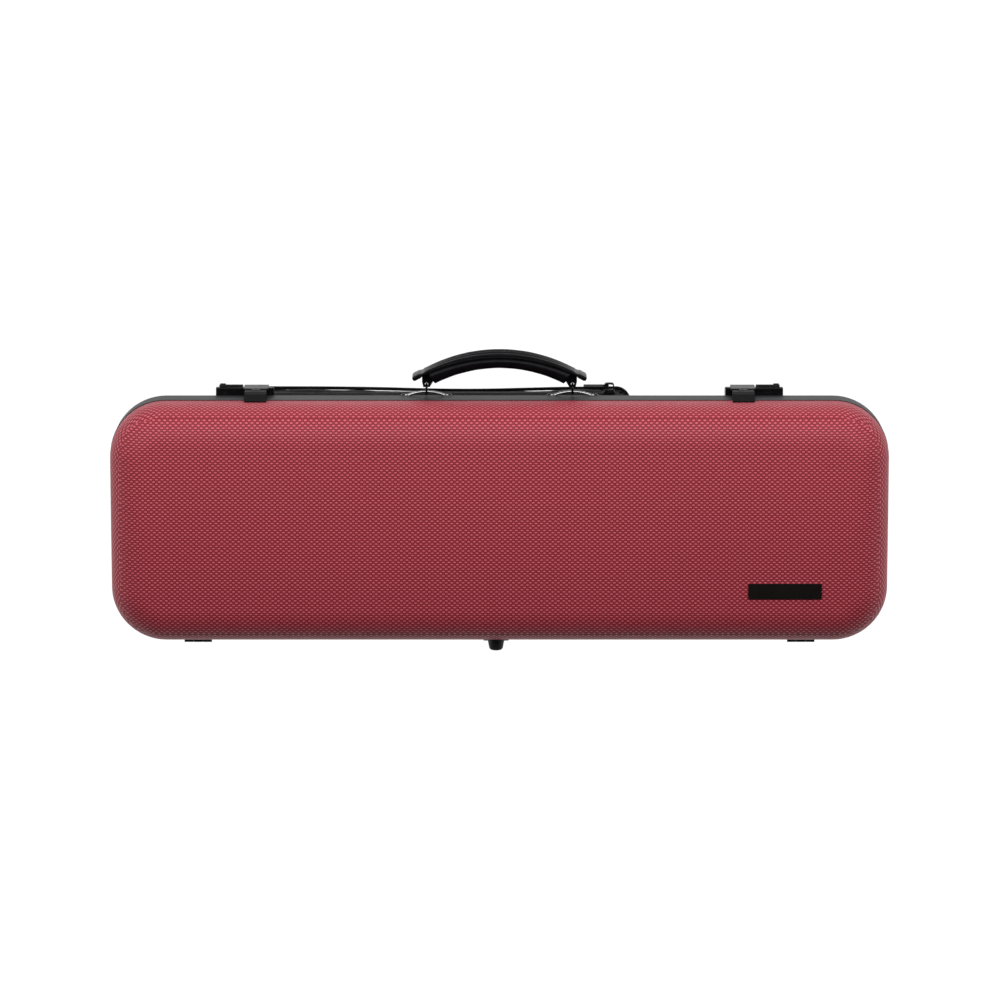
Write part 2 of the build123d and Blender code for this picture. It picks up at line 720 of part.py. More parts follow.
with BuildPart() as box_lid:
    with BuildSketch(Plane.XY.offset(Z_FOAM + 0.3)):
        with Locations((BOX_X, BOX_Y - 1.5)):
            RectangleRounded(BOX_L + 4, BOX_W + 2, 6)
    extrude(amount=3)
    fillet(box_lid.faces().sort_by(Axis.Z)[-1].edges(), radius=1)
box_lid.part.label = "box_lid"
export_step(box_lid.part, "parts/box_lid.step")

with BuildPart() as box_lid_tab:
    with BuildSketch(Plane.XY.offset(Z_FOAM + 3.35)):
        with Locations((BOX_X, BOX_Y - BOX_W / 2 - 2)):
            RectangleRounded(16, 22, 5)
    extrude(amount=1.2)
box_lid_tab.part.label = "box_lid_tab"
export_step(box_lid_tab.part, "parts/box_lid_tab.step")

# ---------------------------------------------------------------- handle


def arc_band(middle_y, inner, outer, half_angle, width):
    """A piece of arch between two radii about (0, middle_y), width wide along Z."""
    low = 90 - half_angle
    high = 90 + half_angle
    spots = {}
    for name, radius in (("in", inner), ("out", outer)):
        for key, angle in (("low", low), ("mid", 90), ("high", high)):
            turn = math.radians(angle)
            spots[name + key] = (radius * math.cos(turn), middle_y + radius * math.sin(turn))
    with BuildPart() as band:
        with BuildSketch(Plane.XY.offset(HANDLE_Z - width / 2)):
            with BuildLine():
                ThreePointArc(spots["inlow"], spots["inmid"], spots["inhigh"])
                Line(spots["inhigh"], spots["outhigh"])
                ThreePointArc(spots["outhigh"], spots["outmid"], spots["outlow"])
                Line(spots["outlow"], spots["inlow"])
            make_face()
        extrude(amount=width)
    return band.part


def arch_disc(radius):
    """Everything within a radius of the strap's centre, as wide as the strap."""
    with BuildPart() as disc:
        with BuildSketch(Plane.XY.offset(HANDLE_Z - HANDLE_W / 2)):
            with Locations((0, strap_y)):
                Circle(radius)
        extrude(amount=HANDLE_W)
    return disc.part


# The strap bends less than the pads, which thin out towards the top pad's ends.
strap_y = HALF_W + HANDLE_OUT - HANDLE_R
pad_top_y = HALF_W + HANDLE_OUT + STRAP_T / 2 + PAD_TOP_T
pad_y = pad_top_y - PAD_R
pad_inner_r = PAD_R - PAD_TOP_T - STRAP_T - PAD_LOW_T
end_angle = math.degrees(math.asin(HANDLE_HALF / HANDLE_R))
with BuildPart() as handle_strap:
    add(arc_band(strap_y, HANDLE_R - STRAP_T / 2, HANDLE_R + STRAP_T / 2, end_angle, HANDLE_W))
    fillet(handle_strap.edges().filter_by(Axis.Y, tolerance=60).filter_by(GeomType.LINE), radius=1.1)
handle_strap.part.label = "handle_strap"
export_step(handle_strap.part, "parts/handle_strap.step")

with BuildPart() as handle_pad_top:
    top_angle = math.degrees(math.asin(PAD_TOP_HALF / PAD_R))
    add(arc_band(pad_y, PAD_R - PAD_TOP_T - STRAP_T, PAD_R, top_angle, HANDLE_W - 2))
    add(arch_disc(HANDLE_R + STRAP_T / 2), mode=Mode.SUBTRACT)
    crown = handle_pad_top.edges().filter_by(GeomType.CIRCLE).group_by(SortBy.RADIUS)[0]
    fillet(crown, radius=0.9)
handle_pad_top.part.label = "handle_pad_top"
export_step(handle_pad_top.part, "parts/handle_pad_top.step")

with BuildPart() as handle_pad_bottom:
    low_angle = math.degrees(math.asin(PAD_LOW_HALF / pad_inner_r))
    add(arc_band(pad_y, pad_inner_r, PAD_R, low_angle, HANDLE_W - 2))
    add(arch_disc(HANDLE_R - STRAP_T / 2), mode=Mode.INTERSECT)
    fillet(handle_pad_bottom.edges().filter_by(GeomType.CIRCLE).group_by(SortBy.RADIUS)[0], radius=3.5)
    with BuildSketch(Plane.XY.offset(HANDLE_Z - LUG_T / 2 - LUG_GAP)):
        with Locations((-LUG_X, pad_y + PAD_R / 2), (LUG_X, pad_y + PAD_R / 2)):
            Rectangle(2 * (LUG_HALF + LUG_GAP), PAD_R)
    extrude(amount=LUG_T + 2 * LUG_GAP, mode=Mode.SUBTRACT)
handle_pad_bottom.part.label = "handle_pad_bottom"
export_step(handle_pad_bottom.part, "parts/handle_pad_bottom.step")

with BuildPart() as handle_lugs:
    for sign in (-1, 1):
        with BuildSketch(Plane.XY.offset(HANDLE_Z - LUG_T / 2)):
            with BuildLine():
                Polyline(
                    (sign * (LUG_X + LUG_HALF), HALF_W + HANDLE_OUT - 10),
                    (sign * (LUG_X + LUG_HALF), HALF_W + LINK_OUT + 2.5),
                    (sign * (LUG_X + 1 + LUG_TIP_HALF), HALF_W + LINK_OUT - 3),
                    (sign * (LUG_X + 1 - LUG_TIP_HALF), HALF_W + LINK_OUT - 3),
                    (sign * (LUG_X - LUG_HALF), HALF_W + LINK_OUT + 2.5),
                    (sign * (LUG_X - LUG_HALF), HALF_W + HANDLE_OUT - 10),
                    close=True,
                )
            make_face()
        extrude(amount=LUG_T)
        with BuildSketch(Plane.XY.offset(HANDLE_Z - LUG_T)):
            with Locations((sign * BAIL_X, HALF_W + LINK_OUT)):
                Circle(LINK_WIRE_R + 0.5)
        extrude(amount=2 * LUG_T, mode=Mode.SUBTRACT)
    add(arc_band(strap_y, HANDLE_R - STRAP_T / 2, HANDLE_R + 30, 80, HANDLE_W), mode=Mode.SUBTRACT)
handle_lugs.part.label = "handle_lugs"
export_step(handle_lugs.part, "parts/handle_lugs.step")

with BuildPart() as handle_links:
    for sign in (-1, 1):
        middle = (LINK_IN + LINK_OUT) / 2
        with BuildLine(wall_plane(sign * BAIL_X, HALF_W + middle, HANDLE_Z)) as loop:
            leg = (LINK_OUT - LINK_IN) / 2 - LINK_HALF_W
            Line((-leg, LINK_HALF_W), (leg, LINK_HALF_W))
            ThreePointArc((leg, LINK_HALF_W), (leg + LINK_HALF_W, 0), (leg, -LINK_HALF_W))
            Line((leg, -LINK_HALF_W), (-leg, -LINK_HALF_W))
            ThreePointArc((-leg, -LINK_HALF_W), (-leg - LINK_HALF_W, 0), (-leg, LINK_HALF_W))
        with BuildSketch(Plane(origin=loop.line @ 0, z_dir=loop.line % 0)):
            Circle(LINK_WIRE_R)
        sweep(path=loop.line)
handle_links.part.label = "handle_links"
export_step(handle_links.part, "parts/handle_links.step")

# ---------------------------------------------------------------- zip slider and pull

with BuildPart() as zip_slider:
    with BuildSketch(zip_frame.offset(-4)):
        with Locations((ZIP_X, 2.5)):
            RectangleRounded(11, 2.4, 0.8)
    extrude(amount=8)
    bridge_h = BRIDGE_OUT - 3.5
    with BuildSketch(zip_frame.offset(-1.5)):
        with Locations((ZIP_X, 3.5 + bridge_h / 2)):
            RectangleRounded(10, bridge_h, 2.6)
            RectangleRounded(7.8, bridge_h - 2.4, 1.6, mode=Mode.SUBTRACT)
    extrude(amount=3)
zip_slider.part.label = "zip_slider"
export_step(zip_slider.part, "parts/zip_slider.step")

pull_x = ZIP_X - 2.2
with BuildPart() as zip_pull:
    with BuildSketch(zip_frame.offset(-3)):
        with Locations((pull_x, PULL_OUT)):
            Circle(1.8)
        with Locations((pull_x - 13, PULL_OUT)):
            RectangleRounded(22, 2.2, 1)
        with Locations((pull_x - 2.5, PULL_OUT)):
            Rectangle(5, 2.2)
    extrude(amount=6)
    with BuildSketch(zip_frame.offset(-1.8)):
        with Locations((pull_x, PULL_OUT)):
            Circle(PULL_CLEAR_R)
    extrude(amount=3.6, mode=Mode.SUBTRACT)
    with BuildSketch(zip_frame.offset(-3)):
        with Locations((pull_x, PULL_OUT)):
            Circle(0.9)
    extrude(amount=6)
zip_pull.part.label = "zip_pull"
export_step(zip_pull.part, "parts/zip_pull.step")
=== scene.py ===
import json
import math

import bmesh
import bpy
from mathutils import Matrix, Vector, noise


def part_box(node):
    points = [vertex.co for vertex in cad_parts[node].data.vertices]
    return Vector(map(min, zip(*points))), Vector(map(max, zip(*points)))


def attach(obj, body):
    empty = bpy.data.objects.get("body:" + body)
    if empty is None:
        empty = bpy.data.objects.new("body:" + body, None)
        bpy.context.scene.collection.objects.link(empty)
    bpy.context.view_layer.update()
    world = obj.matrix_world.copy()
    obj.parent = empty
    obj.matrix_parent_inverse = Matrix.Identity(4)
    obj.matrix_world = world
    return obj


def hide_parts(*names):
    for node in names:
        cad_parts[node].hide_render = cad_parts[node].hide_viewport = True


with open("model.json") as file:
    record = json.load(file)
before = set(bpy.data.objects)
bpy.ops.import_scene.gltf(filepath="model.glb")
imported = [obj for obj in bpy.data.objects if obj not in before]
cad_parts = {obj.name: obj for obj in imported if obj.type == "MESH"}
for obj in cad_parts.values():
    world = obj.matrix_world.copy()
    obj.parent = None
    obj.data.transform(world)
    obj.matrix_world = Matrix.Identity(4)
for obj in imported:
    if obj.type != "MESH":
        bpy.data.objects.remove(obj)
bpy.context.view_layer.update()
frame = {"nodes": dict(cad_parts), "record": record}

MM = 0.001
nodes = frame["nodes"]

# The case lies on its back: +Z out of the lid, +Y the handle's side. Everything is in metres.
HALF_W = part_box("lid_shell")[1].y
PART_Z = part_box("frame_band")[1].z


# ---------------------------------------------------------------- camera and studio

TILT = math.radians(12.0)
DISTANCE = 5.6
FRAME_WIDTH = 1.0058
SENSOR = 36.0
LENS = SENSOR * DISTANCE / FRAME_WIDTH
AIM_X = 0.0005
AIM_BELOW_TOP = 0.102
WALL_GLOW = 0.8
CEILING_GLOW = 0.10
DARK_SIDE = 0.12
KEY_POWER = 13.5
KEY_PLACE = (0.0, 0.50, 0.80)
KEY_AIM = (0, 0, 0.13)
KEY_SIZE = (2.4, 0.3)
WASH_POWER = 262.0
WASH_HEIGHT = 4.0
WASH_SIZE = (5.0, 5.0)
FLOOR_HALF = 6.0


def make_camera():
    """A long lens almost face-on to the lid, leaning towards the handle's side."""
    data = bpy.data.cameras.new("camera")
    data.lens = LENS
    data.sensor_width = SENSOR
    data.clip_end = 50.0
    camera = bpy.data.objects.new("camera", data)
    bpy.context.scene.collection.objects.link(camera)
    right = Vector((1, 0, 0))
    up = Vector((0, math.cos(TILT), -math.sin(TILT)))
    back = Vector((0, math.sin(TILT), math.cos(TILT)))
    target = Vector((AIM_X, HALF_W - AIM_BELOW_TOP, PART_Z))
    place = Matrix((right, up, back)).transposed().to_4x4()
    place.translation = target + back * DISTANCE
    camera.matrix_world = place
    bpy.context.scene.camera = camera


def area_light(name, place, aim, size, power):
    data = bpy.data.lights.new(name, "AREA")
    data.shape = "RECTANGLE"
    data.size, data.size_y = size
    data.energy = power
    light = bpy.data.objects.new(name, data)
    bpy.context.scene.collection.objects.link(light)
    light.location = place
    light.rotation_euler = (Vector(aim) - Vector(place)).to_track_quat("-Z", "Y").to_euler()
    return light


def link_group(name, obj, state):
    """A light-linking collection that holds one object."""
    group = bpy.data.collections.new(name)
    group.objects.link(obj)
    group.collection_objects[0].light_linking.link_state = state
    return group


def make_world():
    """A pale studio: dim overhead, bright around the walls, so edges catch a soft rim."""
    world = bpy.data.worlds.new("studio")
    world.use_nodes = True
    tree = world.node_tree
    background = tree.nodes["Background"]
    coords = tree.nodes.new("ShaderNodeTexCoord")
    split = tree.nodes.new("ShaderNodeSeparateXYZ")
    tree.links.new(coords.outputs["Generated"], split.inputs[0])
    fade = tree.nodes.new("ShaderNodeMapRange")
    fade.inputs["From Min"].default_value = 0.15
    fade.inputs["From Max"].default_value = 0.8
    fade.inputs["To Min"].default_value = WALL_GLOW
    fade.inputs["To Max"].default_value = CEILING_GLOW
    tree.links.new(split.outputs[2], fade.inputs["Value"])
    side = tree.nodes.new("ShaderNodeMapRange")
    side.inputs["From Min"].default_value = -0.7
    side.inputs["From Max"].default_value = 0.1
    side.inputs["To Min"].default_value = DARK_SIDE
    tree.links.new(split.outputs[1], side.inputs["Value"])
    product = tree.nodes.new("ShaderNodeMath")
    product.operation = "MULTIPLY"
    tree.links.new(fade.outputs[0], product.inputs[0])
    tree.links.new(side.outputs[0], product.inputs[1])
    tree.links.new(product.outputs[0], background.inputs["Strength"])
    background.inputs["Color"].default_value = (1, 1, 1, 1)
    bpy.context.scene.world = world


def make_studio():
    """A white floor with a light of its own, and a strip light on the case from the handle's side."""
    scene = bpy.context.scene
    scene.view_settings.view_transform = "Standard"
    make_world()
    mesh = bpy.data.meshes.new("floor")
    half = FLOOR_HALF
    corners = [(-half, -half, 0), (half, -half, 0), (half, half, 0), (-half, half, 0)]
    mesh.from_pydata(corners, [], [(0, 1, 2, 3)])
    floor = bpy.data.objects.new("floor", mesh)
    scene.collection.objects.link(floor)
    floor.data.materials.append(floor_material())

    off_floor = link_group("all_but_floor", floor, "EXCLUDE")
    on_floor = link_group("floor_only", floor, "INCLUDE")
    key = area_light("key_softbox", KEY_PLACE, KEY_AIM, KEY_SIZE, KEY_POWER)
    key.visible_camera = False
    key.light_linking.receiver_collection = off_floor
    wash = area_light("floor_wash", (0, 0, WASH_HEIGHT), (0, 0, 0), WASH_SIZE, WASH_POWER)
    wash.visible_camera = False
    wash.light_linking.receiver_collection = on_floor
    wash.light_linking.blocker_collection = on_floor


# ---------------------------------------------------------------- material building blocks


class Shader:
    """One node-based material: a Principled shader and short calls that add nodes to it."""

    def __init__(self, name):
        self.material = bpy.data.materials.new(name)
        self.material.use_nodes = True
        self.tree = self.material.node_tree
        self.bsdf = self.tree.nodes["Principled BSDF"]
        self.coords = self.tree.nodes.new("ShaderNodeTexCoord")

    def add(self, kind, **settings):
        node = self.tree.nodes.new("ShaderNode" + kind)
        for key, value in settings.items():
            setattr(node, key, value)
        return node

    def feed(self, socket, value):
        """Links a socket, or sets a plain value, on a node's input."""
        if isinstance(value, bpy.types.NodeSocket):
            self.tree.links.new(value, socket)
        else:
            socket.default_value = value

    def math(self, operation, a, b=0.0):
        node = self.add("Math", operation=operation)
        for socket, value in zip(node.inputs, (a, b)):
            self.feed(socket, value)
        return node.outputs[0]

    def split(self, vector):
        node = self.add("SeparateXYZ")
        self.feed(node.inputs[0], vector)
        return node.outputs

    def scaled(self, factors):
        node = self.add("VectorMath", operation="MULTIPLY")
        self.feed(node.inputs[0], self.coords.outputs["Object"])
        node.inputs[1].default_value = factors
        return node.outputs[0]

    def noise(self, scale, detail=3.0, roughness=0.5, stretch=(1, 1, 1)):
        node = self.add("TexNoise")
        self.feed(node.inputs["Vector"], self.scaled(stretch))
        node.inputs["Scale"].default_value = scale
        node.inputs["Detail"].default_value = detail
        node.inputs["Roughness"].default_value = roughness
        return node.outputs["Fac"]

    def cells(self, scale):
        node = self.add("TexVoronoi")
        self.feed(node.inputs["Vector"], self.scaled((1, 1, 1)))
        node.inputs["Scale"].default_value = scale
        return node.outputs["Distance"]

    def ramp(self, value, low, high, from_low=0.0, from_high=1.0):
        node = self.add("MapRange", clamp=True)
        for socket, number in zip(node.inputs, (value, from_low, from_high, low, high)):
            self.feed(socket, number)
        return node.outputs[0]

    def blend(self, amount, a, b):
        node = self.add("Mix", data_type="RGBA")
        self.feed(node.inputs[0], amount)
        for index, color in ((6, a), (7, b)):
            self.feed(node.inputs[index], color if isinstance(color, bpy.types.NodeSocket) else (*color, 1))
        return node.outputs[2]

    def bump(self, height, distance, strength=1.0, before=None):
        node = self.add("Bump")
        node.inputs["Strength"].default_value = strength
        node.inputs["Distance"].default_value = distance
        self.feed(node.inputs["Height"], height)
        if before is not None:
            self.feed(node.inputs["Normal"], before)
        return node.outputs[0]

    def finish(self, color, roughness, normal=None, **fixed):
        self.feed(self.bsdf.inputs["Base Color"], color)
        self.feed(self.bsdf.inputs["Roughness"], roughness)
        if normal is not None:
            self.feed(self.bsdf.inputs["Normal"], normal)
        for key, value in fixed.items():
            self.bsdf.inputs[key.replace("_", " ")].default_value = value
        return self.material

    def surface_uv(self):
        """Millimetre coordinates that run along the case's top, long sides and ends."""
        place = self.split(self.scaled((1000, 1000, 1000)))
        facing = self.split(self.coords.outputs["Normal"])
        nx, ny, nz = (self.math("ABSOLUTE", facing[i]) for i in range(3))
        on_side = self.math("GREATER_THAN", ny, nz)
        on_end = self.math("GREATER_THAN", nx, self.math("MAXIMUM", ny, nz))
        to_end = self.math("SUBTRACT", place[1], place[0])
        u = self.math("ADD", place[0], self.math("MULTIPLY", on_end, to_end))
        up = self.math("MAXIMUM", on_side, on_end)
        to_height = self.math("SUBTRACT", place[2], place[1])
        v = self.math("ADD", place[1], self.math("MULTIPLY", up, to_height))
        return u, v


def floor_material():
    shader = Shader("floor_paper")
    grain = shader.noise(6.0, 2.0)
    color = shader.blend(grain, (0.90, 0.90, 0.90), (0.92, 0.92, 0.92))
    return shader.finish(color, 0.9)


# The lid's raised dashes: their pitch along a row and across rows, in millimetres, and the share
# of that pitch that half a dash takes up.
BEAD_U = 5.6
BEAD_V = 2.34
BEAD_LENGTH = 0.66
BEAD_WIDTH = 0.80


def lid_material():
    """Red satin shell, pressed all over with offset rows of small raised dashes and fine threads, whose
    tops are painted lighter and greyer as a painted highlight.
    """
    shader = Shader("lid_red")
    u, v = shader.surface_uv()
    rows = shader.math("DIVIDE", v, BEAD_V)
    row = shader.math("FLOOR", rows)
    shift = shader.math("MULTIPLY", shader.math("FLOORED_MODULO", row, 2.0), 0.5)
    beads = shader.math("ADD", shader.math("DIVIDE", u, BEAD_U), shift)
    along = shader.math("SUBTRACT", shader.math("MULTIPLY", shader.math("FRACT", beads), 2.0), 1.0)
    across = shader.math("SUBTRACT", shader.math("MULTIPLY", shader.math("FRACT", rows), 2.0), 1.0)
    length = shader.math("ABSOLUTE", along)
    long_part = shader.math("POWER", shader.math("DIVIDE", length, BEAD_LENGTH), 2.4)
    width = shader.math("ABSOLUTE", across)
    short_part = shader.math("POWER", shader.math("DIVIDE", width, BEAD_WIDTH), 2.2)
    dash = shader.ramp(shader.math("ADD", long_part, short_part), 1.0, 0.0, 0.0, 1.25)
    thread = shader.ramp(length, 0.0, 0.36, 0.86, 0.97)
    weave = shader.math("MAXIMUM", dash, thread)
    drift = shader.noise(7.0, 3.0)
    mottle = shader.noise(420.0, 2.0)
    # Painted highlight: the dash and thread tops take a lighter, greyer colour for the light they catch;
    # the valley colour is the shell's own red.
    valley = shader.blend(drift, (0.150, 0.000, 0.006), (0.170, 0.001, 0.009))
    painted_crest_highlight = shader.blend(drift, (0.60, 0.105, 0.140), (0.64, 0.115, 0.150))
    mixed = shader.blend(weave, valley, painted_crest_highlight)
    color = shader.blend(shader.math("MULTIPLY", mottle, 0.12), mixed, (0.30, 0.02, 0.035))
    roughness = shader.ramp(shader.math("ADD", dash, shader.math("MULTIPLY", mottle, 0.4)), 0.66, 0.40)
    fine = shader.bump(mottle, 0.00005, 0.4)
    normal = shader.bump(weave, 0.0004, 0.8, fine)
    return shader.finish(color, roughness, normal, Specular_IOR_Level=0.32)


def plastic_material(name, dark, light, roughness, grain_scale=900.0, grain=0.00008):
    """Moulded plastic with a fine leather-like grain."""
    shader = Shader(name)
    cells = shader.cells(grain_scale)
    drift = shader.noise(30.0, 4.0)
    color = shader.blend(drift, dark, light)
    rough = shader.ramp(drift, roughness - 0.06, roughness + 0.08)
    return shader.finish(color, rough, shader.bump(cells, grain, 0.5), Specular_IOR_Level=0.3)


def rubber_material(name, dark, light, roughness=0.62):
    shader = Shader(name)
    drift = shader.noise(24.0, 5.0, 0.6)
    dust = shader.noise(1500.0, 2.0)
    color = shader.blend(drift, dark, light)
    rough = shader.ramp(dust, roughness - 0.08, roughness + 0.1)
    return shader.finish(color, rough, shader.bump(dust, 0.00003, 0.5), Specular_IOR_Level=0.3)


def enamel_material(name, base=(0.002, 0.002, 0.0025), worn=(0.006, 0.006, 0.007)):
    """Black enamel over metal: orange peel, and rubbed patches a little greyer and duller."""
    shader = Shader(name)
    peel = shader.noise(1800.0, 2.0)
    rubbed = shader.ramp(shader.noise(190.0, 4.0, 0.7), 0.0, 1.0, 0.5, 0.75)
    color = shader.blend(rubbed, base, worn)
    rough = shader.ramp(shader.math("ADD", peel, rubbed), 0.22, 0.36)
    return shader.finish(color, rough, shader.bump(peel, 0.00003, 0.35), Specular_IOR_Level=0.08)


def steel_material(name, roughness=0.16, tint=(0.3, 0.3, 0.305)):
    """Polished steel with fine drawn scratches along the case."""
    shader = Shader(name)
    lines = shader.noise(2600.0, 3.0, 0.6, (0.08, 1, 1))
    drift = shader.noise(60.0, 3.0)
    color = shader.blend(drift, tint, tuple(min(1.0, 1.25 * part) for part in tint))
    rough = shader.ramp(lines, roughness - 0.05, roughness + 0.12)
    return shader.finish(color, rough, shader.bump(lines, 0.00002, 0.4), Metallic=1.0)


def leather_material(name, dark, light):
    """Black grained leather: pebbled cells, soft creases across the handle."""
    shader = Shader(name)
    pebbles = shader.cells(900.0)
    fine = shader.cells(2100.0)
    creases = shader.noise(120.0, 5.0, 0.65, (1.0, 0.5, 0.5))
    height = shader.math("ADD", shader.math("MULTIPLY", pebbles, 0.8), shader.math("MULTIPLY", fine, 0.35))
    color = shader.blend(shader.ramp(creases, 0.0, 1.0, 0.3, 0.7), dark, light)
    rough = shader.ramp(pebbles, 0.22, 0.38, 0.0, 0.9)
    soft = shader.bump(creases, 0.0004, 0.25)
    return shader.finish(color, rough, shader.bump(height, 0.00012, 0.6, soft), Specular_IOR_Level=0.07)


def weave_material(name, dark, light, pitch, roughness, sheen):
    """Plain woven cloth: over and under threads at the given pitch in millimetres, painted darker in the
    gaps between threads as painted shade.
    """
    shader = Shader(name)
    place = shader.split(shader.scaled((1000 / pitch, 1000 / pitch, 1000 / pitch)))
    total = shader.math("ADD", place[1], place[2])
    warp = shader.math("ABSOLUTE", shader.math("SINE", shader.math("MULTIPLY", place[0], math.pi)))
    weft = shader.math("ABSOLUTE", shader.math("SINE", shader.math("MULTIPLY", total, math.pi)))
    squares = shader.math("ADD", shader.math("FLOOR", place[0]), shader.math("FLOOR", total))
    checker = shader.math("FLOORED_MODULO", squares, 2.0)
    over = shader.math("MULTIPLY", checker, warp)
    under = shader.math("MULTIPLY", shader.math("SUBTRACT", 1.0, checker), weft)
    thread = shader.math("ADD", over, under)
    drift = shader.noise(18.0, 4.0)
    # Painted shade: each thread is darker where it dips into the gaps and lighter on its crown, following
    # the bump's relief.
    base = shader.blend(shader.ramp(thread, 0.0, 1.0, 0.1, 0.95), dark, light)
    color = shader.blend(shader.math("MULTIPLY", drift, 0.3), base, dark)
    rough = shader.ramp(thread, roughness + 0.1, roughness - 0.08)
    return shader.finish(
        color,
        rough,
        shader.bump(thread, 0.00012, 0.7),
        Sheen_Weight=sheen,
        Sheen_Roughness=0.4,
        Specular_IOR_Level=0.06,
    )


def plush_material(name, dark, light):
    """Short velvet pile with brushed patches."""
    shader = Shader(name)
    pile = shader.noise(2400.0, 3.0, 0.7)
    brushed = shader.noise(22.0, 5.0, 0.6, (1.0, 1.6, 1.0))
    color = shader.blend(shader.ramp(brushed, 0.0, 1.0, 0.3, 0.7), dark, light)
    speck = shader.blend(shader.ramp(pile, 0.0, 0.45), color, light)
    normal = shader.bump(pile, 0.0005, 0.5, shader.bump(brushed, 0.002, 0.2))
    tint = (0.5, 0.5, 0.55, 1)
    return shader.finish(speck, 0.88, normal, Sheen_Weight=0.7, Sheen_Roughness=0.35, Sheen_Tint=tint)


def make_materials():
    return {
        "lid_shell": lid_material(),
        "base_abs": plastic_material("base_black", (0.008, 0.008, 0.009), (0.013, 0.013, 0.014), 0.46),
        "frame_rubber": rubber_material("frame_grey", (0.012, 0.012, 0.014), (0.019, 0.0185, 0.021), 0.55),
        "seal_rubber": rubber_material("seal_black", (0.0015, 0.0015, 0.0015), (0.004, 0.004, 0.004)),
        "plush": plush_material("plush_grey", (0.016, 0.016, 0.019), (0.040, 0.040, 0.046)),
        "strap_web": weave_material(
            "strap_webbing", (0.0015, 0.0015, 0.0015), (0.006, 0.006, 0.007), 1.3, 0.55, 0.01
        ),
        "pocket_fabric": weave_material(
            "pocket_nylon", (0.0008, 0.0008, 0.0009), (0.003, 0.003, 0.0035), 0.8, 0.5, 0.005
        ),
        "zip_teeth": plastic_material("zip_black", (0.010, 0.010, 0.010), (0.022, 0.022, 0.022), 0.35),
        "zip_metal": enamel_material("zip_enamel", (0.003, 0.003, 0.0035), (0.012, 0.012, 0.012)),
        "foot_rubber": rubber_material("foot_black", (0.010, 0.010, 0.010), (0.020, 0.020, 0.020), 0.55),
        "hinge_metal": enamel_material("hinge_enamel"),
        "bail_steel": steel_material("bail_polished"),
        "pin_steel": steel_material("pin_bright", 0.22, (0.62, 0.62, 0.63)),
        "latch_metal": enamel_material("latch_enamel"),
        "label_plastic": plastic_material(
            "label_black", (0.0035, 0.003, 0.0025), (0.006, 0.005, 0.004), 0.3, 1400.0, 0.00002
        ),
        "clip_plastic": plastic_material("clip_black", (0.010, 0.010, 0.010), (0.018, 0.018, 0.018), 0.3),
        "handle_leather": leather_material(
            "handle_leather", (0.0012, 0.0012, 0.0016), (0.0035, 0.0035, 0.0045)
        ),
    }


def dress_cad_nodes():
    """Every carried-over CAD node takes its slot's procedural material."""
    slots = {part["node"]: part["material_slot"] for part in frame["record"]["subparts"]}
    for name, node in nodes.items():
        node.data.materials.clear()
        node.data.materials.append(materials[slots[name]])


# ---------------------------------------------------------------- mesh helpers


def add_piece(name, mesh, body, slot):
    """A smooth-shaded visual piece that rides on a body."""
    piece = bpy.data.objects.new(name, mesh)
    bpy.context.scene.collection.objects.link(piece)
    mesh.materials.clear()
    mesh.materials.append(materials[slot])
    mesh.shade_smooth()
    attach(piece, body)
    return piece


def mesh_from(name, build):
    """A mesh filled by build(bm)."""
    mesh = bpy.data.meshes.new(name)
    bm = bmesh.new()
    build(bm)
    bmesh.ops.recalc_face_normals(bm, faces=bm.faces)
    bm.to_mesh(mesh)
    bm.free()
    return mesh


def skin(bm, rings):
    """Faces between closed rings of vertices, with a cap at each end."""
    count = len(rings[0])
    for a, b in zip(rings, rings[1:]):
        for k in range(count):
            bm.faces.new((a[k], a[(k + 1) % count], b[(k + 1) % count], b[k]))
    bm.faces.new(rings[0])
    bm.faces.new(reversed(rings[-1]))


def baked(obj, name):
    """obj's mesh with its modifiers applied; obj itself is removed."""
    graph = bpy.context.evaluated_depsgraph_get()
    mesh = bpy.data.meshes.new_from_object(obj.evaluated_get(graph))
    mesh.name = name
    bpy.data.objects.remove(obj)
    return mesh


def soft_copy(node, voxel, smoothing, name):
    """A CAD pad with its hard edges rounded away by a voxel remesh and smoothing."""
    source = nodes[node].data.copy()
    source.materials.clear()
    work = bpy.data.objects.new(name + "_work", source)
    bpy.context.scene.collection.objects.link(work)
    remesh = work.modifiers.new("remesh", "REMESH")
    remesh.mode = "VOXEL"
    remesh.voxel_size = voxel
    smooth = work.modifiers.new("smooth", "SMOOTH")
    smooth.factor = 0.5
    smooth.iterations = smoothing
    return baked(work, name)


def sweep(points, radius, name, closed=False, sides=8):
    """A round tube along points, as a mesh."""
    curve = bpy.data.curves.new(name, "CURVE")
    curve.dimensions = "3D"
    curve.bevel_depth = radius
    curve.bevel_resolution = sides // 4
    curve.use_fill_caps = True
    spline = curve.splines.new("POLY")
    spline.points.add(len(points) - 1)
    for spot, place in zip(spline.points, points):
        spot.co = (*place, 1)
    spline.use_cyclic_u = closed
    return baked(bpy.data.objects.new(name, curve), name)


def join(meshes, name):
    """Several meshes as one."""
    bm = bmesh.new()
    for mesh in meshes:
        bm.from_mesh(mesh)
    whole = bpy.data.meshes.new(name)
    bm.to_mesh(whole)
    bm.free()
    return whole


def rounded_loop(x0, x1, y0, y1, radius, z, step=8):
    """Points round a rounded rectangle at height z."""
    points = []
    corners = ((x1, y1, 0), (x0, y1, 90), (x0, y0, 180), (x1, y0, 270))
    for x, y, start in corners:
        cx = x - radius if x == x1 else x + radius
        cy = y - radius if y == y1 else y + radius
        for i in range(step + 1):
            turn = math.radians(start + 90 * i / step)
            points.append((cx + radius * math.cos(turn), cy + radius * math.sin(turn), z))
    return points


CLOTH_PRESSURE = 4.0
CLOTH_FRAMES = 20


